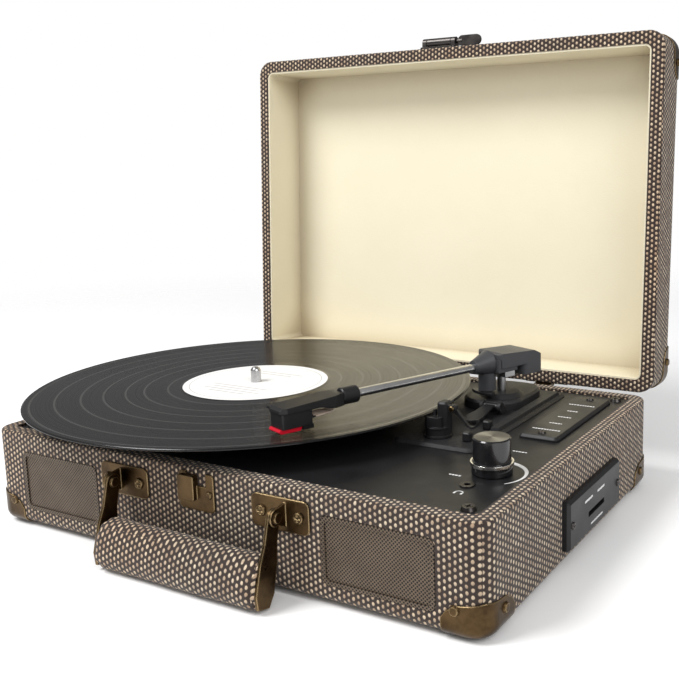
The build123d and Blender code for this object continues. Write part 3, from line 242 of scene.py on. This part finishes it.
def vinyl():
    """Pressed disc: fine grooves, smooth gaps between the tracks painted a lighter grey as painted
    sheen, and a paper label.
    """
    n = Net("record_vinyl", rough=0.18, Anisotropic=0.45, Specular_IOR_Level=0.40)
    n.put(n.shader.inputs["Tangent"],
          n.node("Tangent", {"direction_type": "RADIAL", "axis": "Z"}).outputs[0])
    r, dx, dy = radius_from(n, SPINDLE_XY)
    groove = n.math("SINE", n.math("MULTIPLY", r, 2 * pi / (GROOVE_PITCH * MM)))
    uneven = n.node("TexNoise", {"noise_dimensions": "1D"}, Scale=900.0, Detail=3.0)
    n.put(uneven.inputs["W"], r)
    gap_and_painted_sheen = 0.0
    for track in TRACK_GAPS:
        away = n.math("ABSOLUTE", n.math("SUBTRACT", r, track * MM))
        gap_and_painted_sheen = n.math("MAXIMUM", gap_and_painted_sheen, n.step(away, 0.0009, 0.0004))
    smooth = n.math("MAXIMUM", gap_and_painted_sheen, n.step(r, (RUN_OUT_RADIUS + 0.5) * MM, (RUN_OUT_RADIUS - 0.5) * MM))
    label = n.math("LESS_THAN", r, LABEL_RADIUS * MM)
    printed = 0.0
    for row_y, half_width in LABEL_LINES:
        off_row = n.math("ABSOLUTE", n.math("SUBTRACT", dy, row_y * MM))
        in_row = n.math("LESS_THAN", off_row, 0.0006)
        in_width = n.math("LESS_THAN", n.math("ABSOLUTE", dx), half_width * MM)
        printed = n.math("MAXIMUM", printed, n.math("MULTIPLY", in_row, in_width))
    off_ring = n.math("ABSOLUTE", n.math("SUBTRACT", r, LABEL_RING_RADIUS * MM))
    ring = n.math("LESS_THAN", off_ring, 0.0003)
    printed = n.math("MULTIPLY", n.math("MAXIMUM", printed, ring), 0.55)
    paper = n.mix(printed, n.mix(n.noise(300.0, 3.0), (0.70, 0.69, 0.68), (0.80, 0.79, 0.78)),
                  (0.22, 0.20, 0.20))
    black = n.mix(uneven.outputs[0], (0.003, 0.003, 0.003), (0.009, 0.009, 0.009))
    # painted sheen: the smooth gaps between tracks are coloured lighter grey than the grooved black
    black = n.mix(gap_and_painted_sheen, black, (0.040, 0.039, 0.037))
    rough = n.math("ADD", n.step(uneven.outputs[0], 0.3, 0.7, 0.12, 0.24),
                   n.math("MULTIPLY", smooth, -0.07))
    rough = n.math("MAXIMUM", rough, n.math("MULTIPLY", label, 0.6))
    depth = n.math("MULTIPLY", groove, n.math("SUBTRACT", 1.0, n.math("MAXIMUM", smooth, label)))
    return n.finish(color=n.mix(label, black, paper), rough=rough,
                    normal=n.bump(depth, 0.00006, 0.5))


def knob_finish():
    """Polished black knob with a bright skirt ring and a spun top that carries a painted highlight, a
    bright fan across it.
    """
    n = Net("knob_gloss", rough=0.16, Coat_Weight=0.4)
    r, dx, dy = radius_from(n, KNOB_XY)
    z = n.xyz(n.point)[2]
    ring = n.math("MULTIPLY", n.math("GREATER_THAN", r, 0.0112),
                  n.math("MULTIPLY", n.math("GREATER_THAN", z, 0.06665),
                         n.math("LESS_THAN", z, 0.06855)))
    top = n.math("GREATER_THAN", z, 0.08195)
    # painted highlight: the metal top is coloured grey in a fan by angle round the knob, for the light
    # it reflects
    turn = n.math("ARCTAN2", dy, dx)
    painted_highlight_fan = n.math("POWER", n.math("ABSOLUTE", n.math("COSINE", n.math("ADD", turn, 0.5))), 5.0)
    spun = n.math("SINE", n.math("MULTIPLY", r, 2 * pi / 0.0005))
    top_with_painted_highlight = n.mix(painted_highlight_fan, (0.012, 0.012, 0.012), (0.34, 0.34, 0.33))
    color = n.mix(top, (0.008, 0.008, 0.009), top_with_painted_highlight)
    color = n.mix(ring, color, (0.80, 0.78, 0.74))
    cloud = n.noise(400.0, 4.0)
    rough = n.math("ADD", n.step(cloud, 0.2, 0.8, 0.10, 0.2), n.math("MULTIPLY", top, 0.2))
    soft = n.node("Bevel", {"samples": 4}, Radius=0.0005).outputs[0]
    return n.finish(color=color, rough=rough, metal=n.math("MAXIMUM", ring, top),
                    normal=n.bump(n.math("MULTIPLY", spun, top), 0.00003, 0.4, soft))


def grille_finish():
    """Painted pressed plate with a fine diagonal mesh of holes, each hole coloured near-black as painted
    shade.
    """
    n = Net("grille_mesh", rough=0.45, metal=0.6)
    x, _, z = n.xyz(n.point)
    a = n.math("DIVIDE", n.math("ADD", x, z), GRILLE_PITCH * MM)
    b = n.math("DIVIDE", n.math("SUBTRACT", x, z), GRILLE_PITCH * MM)
    fa = n.math("SUBTRACT", n.math("FRACT", a), 0.5)
    fb = n.math("SUBTRACT", n.math("FRACT", b), 0.5)
    reach = n.math("SQRT", n.math("ADD", n.math("MULTIPLY", fa, fa), n.math("MULTIPLY", fb, fb)))
    hole_and_painted_shade = n.step(reach, 0.40, 0.28)
    cloud = n.noise(90.0, 4.0)
    paint = n.mix(cloud, (0.10, 0.070, 0.048), (0.19, 0.145, 0.105))
    # painted shade: the holes are coloured near-black for the dark seen through them
    return n.finish(color=n.mix(hole_and_painted_shade, paint, (0.010, 0.008, 0.007)),
                    normal=n.bump(n.math("SUBTRACT", 1.0, hole_and_painted_shade), 0.0005, 0.8))


def wood():
    """Unpainted wood with a long grain."""
    n = Net("bare_wood", rough=0.7)
    grain = n.noise(14.0, 6.0, 0.6, (12.0, 12.0, 1.0))
    return n.finish(color=n.mix(grain, (0.36, 0.23, 0.12), (0.62, 0.45, 0.27)),
                    normal=n.bump(grain, 0.0004, 0.5))


def board():
    """Green circuit board with paler tracks."""
    n = Net("circuit_board", rough=0.4)
    lines = n.node("TexBrick", Vector=n.point, Scale=90.0, Mortar_Size=0.03)
    return n.finish(color=n.mix(lines.outputs[1], (0.01, 0.10, 0.04), (0.05, 0.22, 0.10)),
                    normal=n.bump(n.noise(500.0), 0.0002))


looks = {
    "tweed": tweed(),
    "lining": lining(),
    "bronze": bronze(),
    "black_plastic": plastic("black_satin", (0.006, 0.006, 0.007), (0.017, 0.017, 0.018), 0.38),
    "grey_plastic": plastic("dark_grey_satin", (0.030, 0.031, 0.034), (0.060, 0.061, 0.066), 0.36),
    "pebbled": plastic("pebbled_black", (0.008, 0.008, 0.009), (0.024, 0.024, 0.026), 0.48,
                       1100.0, 0.0005, 0.8),
    "red_plastic": plastic("stylus_red", (0.42, 0.003, 0.012), (0.62, 0.010, 0.030), 0.25),
    "rubber": plastic("black_rubber", (0.014, 0.014, 0.014), (0.035, 0.034, 0.033), 0.75),
    "felt": plastic("black_felt", (0.010, 0.010, 0.010), (0.035, 0.034, 0.033), 0.95, 1800.0, 0.0006),
    "paper": plastic("paper_cone", (0.03, 0.03, 0.03), (0.07, 0.07, 0.07), 0.9, 600.0, 0.0005),
    "wire": plastic("lead_sleeve", (0.35, 0.20, 0.12), (0.55, 0.50, 0.45), 0.5),
    "white_ink": plastic("white_ink", (0.72, 0.72, 0.72), (0.86, 0.86, 0.85), 0.5),
    "steel": metal("plain_steel", (0.42, 0.42, 0.43), (0.62, 0.62, 0.62), 0.30),
    "dark_steel": metal("blackened_steel", (0.045, 0.042, 0.040), (0.12, 0.11, 0.105), 0.32),
    "aluminium": metal("satin_tube", (0.70, 0.70, 0.70), (0.88, 0.88, 0.87), 0.20),
    "chrome": metal("bright_pin", (0.70, 0.64, 0.52), (0.92, 0.88, 0.78), 0.10),
    "gold": metal("plated_socket", (0.60, 0.42, 0.16), (0.85, 0.65, 0.30), 0.22),
    "gloss_black": knob_finish(),
    "vinyl": vinyl(),
    "mesh": grille_finish(),
    "wood": wood(),
    "board": board(),
}
own_look = {
    "tonearm_island": "pebbled", "arm_base": "pebbled", "deck_screws": "dark_steel",
    "panel_screws": "dark_steel", "spindle": "steel", "phone_jack": "dark_steel",
    "latch_plate": "dark_steel", "latch_lever": "dark_steel", "motor_pulley": "gold",
}
slot_of = {part["node"]: part["material_slot"] for part in frame["record"]["subparts"]}
for node, shown in frame["nodes"].items():
    shown.data.materials.clear()
    shown.data.materials.append(looks[own_look.get(node, slot_of[node])])


# ------------------------------------------------------------------ pieces made here
def mesh_piece(name, points, faces, look, body, smooth=False):
    data = bpy.data.meshes.new(name)
    data.from_pydata([Vector(p) * MM for p in points], [], faces)
    data.validate()
    data.update()
    made = bpy.data.objects.new(name, data)
    bpy.context.scene.collection.objects.link(made)
    made.data.materials.append(looks[look])
    for face in data.polygons:
        face.use_smooth = smooth
    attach(made, body)
    return made


def flat_shapes(name, outlines, z, look, body, side=False):
    """Thin printed shapes lying level at one height, or upright on the case's right side."""
    points, faces = [], []
    for outline in outlines:
        start, count = len(points), len(outline)
        points += [(x, y, z) for x, y in outline] + [(x, y, z + INK_THICK) for x, y in outline]
        faces.append(list(range(start + count - 1, start - 1, -1)))
        faces.append(list(range(start + count, start + 2 * count)))
        for i in range(count):
            j = (i + 1) % count
            faces.append([start + i, start + j, start + count + j, start + count + i])
    if side:
        points = [(height, x, y) for x, y, height in points]
    return mesh_piece(name, points, faces, look, body)


def dash(x, y, length, width):
    return [(x, y - width / 2), (x + length, y - width / 2),
            (x + length, y + width / 2), (x, y + width / 2)]


def word(x, y, length, height=1.5):
    """A run of short unequal dashes about as long as a printed word."""
    marks, at, turn = [], x, 0
    lengths = (1.5, 1.1, 1.9, 1.3, 1.6, 1.0)
    while at < x + length - 0.6:
        step = min(lengths[turn % 6], x + length - at)
        marks.append(dash(at, y, step, height * (0.75 + 0.25 * (turn % 2))))
        at += step + 0.45
        turn += 1
    return marks


def arc_band(centre, radius, start, end, width_start, width_end, steps=40):
    """Short flat pieces along an arc, whose width changes evenly from start to end."""
    inner, outer = [], []
    for i in range(steps + 1):
        t = i / steps
        angle = radians(start + (end - start) * t)
        half = (width_start + (width_end - width_start) * t) / 2
        for edge, reach in ((inner, radius - half), (outer, radius + half)):
            edge.append((centre[0] + reach * cos(angle), centre[1] + reach * sin(angle)))
    return [[inner[i], outer[i], outer[i + 1], inner[i + 1]] for i in range(steps)]


# the volume wedge round the knob, the words beside it and the headphone symbol
deck_marks = arc_band(KNOB_XY, 18.8, -44, 80, 0.5, 3.4)
deck_marks += word(129.0, -70.5, 7.5) + word(143.5, -19.5, 9.0, 1.3)
deck_marks += arc_band((146.8, -92.6), 2.2, 0, 180, 0.6, 0.6, 16)
deck_marks += [dash(144.2, -93.4, 1.1, 2.2), dash(148.3, -93.4, 1.1, 2.2)]
flat_shapes("deck_marks", deck_marks, DECK_Z + INK_LIFT, "white_ink", "case")
plate_marks = []
PLATE_MIDDLE_X = 148.5
for label_y, label_length in ((19.5, 19.0), (34.0, 8.5), (49.0, 9.0), (64.0, 8.0), (80.0, 18.0)):
    plate_marks += word(PLATE_MIDDLE_X - label_length / 2, label_y, label_length, 1.6)
flat_shapes("plate_marks", plate_marks, DECK_Z + PLATE_RISE + INK_LIFT, "white_ink", "case")

side_marks = word(-9.0, 33.0, 13.0, 1.6) + word(12.0, 33.0, 12.0, 1.6) + word(1.0, 16.5, 20.0, 1.3)
flat_shapes("side_marks", side_marks, PANEL_FACE_X + INK_LIFT, "white_ink", "case", side=True)


HANDLE_PIVOT = (-136.5, 48.5)
GRIP_LEAN = 14.0
GRIP_DROP = 34.5
GRIP_HALF_LENGTH = 59.0
GRIP_HALF_WIDTH, GRIP_HALF_HEIGHT = 10.2, 14.6
GRIP_END = 8.0


def grip_piece():
    """The stuffed grip: fat in the middle, drawn in at its ends, with a stitched ridge."""
    lean = radians(GRIP_LEAN)
    pivot_y, pivot_z = HANDLE_PIVOT
    centre = Vector((0.0, pivot_y - GRIP_DROP * sin(lean), pivot_z - GRIP_DROP * cos(lean)))
    across, upward = Vector((0, cos(lean), -sin(lean))), Vector((0, sin(lean), cos(lean)))
    points, faces, along, around = [], [], 120, 96
    for i in range(along + 1):
        x = -GRIP_HALF_LENGTH + 2 * GRIP_HALF_LENGTH * i / along
        end = max(0.0, abs(x) - (GRIP_HALF_LENGTH - GRIP_END)) / GRIP_END
        close = sqrt(max(0.0, 1.0 - end ** 3)) * 0.30 + 0.70
        for j in range(around):
            angle = 2 * pi * j / around
            c, s = cos(angle), sin(angle)
            side = GRIP_HALF_WIDTH * (abs(c) ** 0.92) * (1 if c > 0 else -1)
            tall = GRIP_HALF_HEIGHT * (abs(s) ** 0.78) * (1 if s > 0 else -1)
            pucker = 0.55 * end * sin(9 * angle)
            lump = noise.noise(Vector((x * 0.035, c * 0.9, s * 0.9))) * 0.55
            crease = noise.noise(Vector((x * 0.22, c * 1.4, s * 1.4 + 7.0))) * 0.16
            ridge = -0.7 if abs(s + 1.0) < 0.012 else 0.0
            swell = 1.0 + (lump + crease + pucker + ridge) / 14.0
            spot = centre + Vector((x, 0, 0))
            spot += across * (side * close * swell) + upward * (tall * close * swell)
            points.append(spot)
    for i in range(along):
        for j in range(around):
            k = (j + 1) % around
            faces.append([i * around + j, i * around + k, (i + 1) * around + k, (i + 1) * around + j])
    faces.append([j for j in range(around)])
    faces.append([along * around + j for j in reversed(range(around))])
    return mesh_piece("padded_grip", points, faces, "tweed", "handle", smooth=True)


grip = grip_piece()
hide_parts("handle_grip")


# ------------------------------------------------------------------ floor, light, camera
floor_material = Net("pale_floor", rough=0.6)
floor_look = floor_material.finish(
    color=floor_material.mix(floor_material.noise(3.0, 2.0), (0.93, 0.93, 0.93), (0.95, 0.95, 0.95)))
floor_material.put(floor_material.shader.inputs["Alpha"],
                   floor_material.step(radius_from(floor_material, (0, 0))[0], 0.5, 1.4, 1.0, 0.0))
bpy.ops.mesh.primitive_plane_add(size=30.0, location=(0, 0, 0))
floor = bpy.context.object
floor.name = "floor"
floor.data.materials.append(floor_look)

# a white backdrop that lights the room less than it shows, and reflects still less
BACKDROP_LEVEL = 1.0
ROOM_LEVEL = 0.66
REFLECTED_LEVEL = 0.24

world = bpy.data.worlds.new("studio")
bpy.context.scene.world = world
world.use_nodes = True
world.node_tree.nodes["Background"].inputs[0].default_value = (1.0, 1.0, 1.0, 1.0)
rays = world.node_tree.nodes.new("ShaderNodeLightPath")
level = world.node_tree.nodes.new("ShaderNodeMapRange")
level.inputs["To Min"].default_value = ROOM_LEVEL
level.inputs["To Max"].default_value = BACKDROP_LEVEL
world.node_tree.links.new(rays.outputs["Is Camera Ray"], level.inputs["Value"])
dimmed = world.node_tree.nodes.new("ShaderNodeMath")
dimmed.operation = "MULTIPLY_ADD"
dimmed.inputs[1].default_value = REFLECTED_LEVEL - ROOM_LEVEL
world.node_tree.links.new(rays.outputs["Is Glossy Ray"], dimmed.inputs[0])
world.node_tree.links.new(level.outputs[0], dimmed.inputs[2])
world.node_tree.links.new(dimmed.outputs[0], world.node_tree.nodes["Background"].inputs[1])


def area_light(name, place, target, size, power):
    data = bpy.data.lights.new(name, "AREA")
    data.shape = "DISK"
    data.size = size
    data.energy = power
    made = bpy.data.objects.new(name, data)
    bpy.context.scene.collection.objects.link(made)
    made.location = place
    made.rotation_euler = (Vector(target) - Vector(place)).to_track_quat("-Z", "Y").to_euler()


area_light("key", (-0.7, -0.9, 1.5), (0, 0, 0.1), 0.9, 30.0)
area_light("fill", (1.2, -0.6, 1.0), (0, 0, 0.1), 1.2, 11.0)

SENSOR_WIDTH = 36.0
LENS = 48.261
SHIFT_X = -0.16082
SHIFT_Y = -0.04786
CAMERA_PLACE = (0.36156, -0.48497, 0.23267)
CAMERA_LOOK = (-0.48009, 0.86186, -0.16343)
CAMERA_UP = (-0.06292, 0.15199, 0.98638)

camera_data = bpy.data.cameras.new("camera")
camera = bpy.data.objects.new("camera", camera_data)
bpy.context.scene.collection.objects.link(camera)
look = Vector(CAMERA_LOOK).normalized()
upward = Vector(CAMERA_UP)
right = look.cross(upward).normalized()
upward = right.cross(look)
camera.matrix_world = Matrix((
    (right.x, upward.x, -look.x, CAMERA_PLACE[0]),
    (right.y, upward.y, -look.y, CAMERA_PLACE[1]),
    (right.z, upward.z, -look.z, CAMERA_PLACE[2]),
    (0, 0, 0, 1),
))
camera_data.sensor_width = SENSOR_WIDTH
camera_data.lens = LENS
camera_data.shift_x = SHIFT_X
camera_data.shift_y = SHIFT_Y
camera_data.clip_start = 0.01
bpy.context.scene.view_settings.view_transform = "Standard"
bpy.context.scene.camera = camera
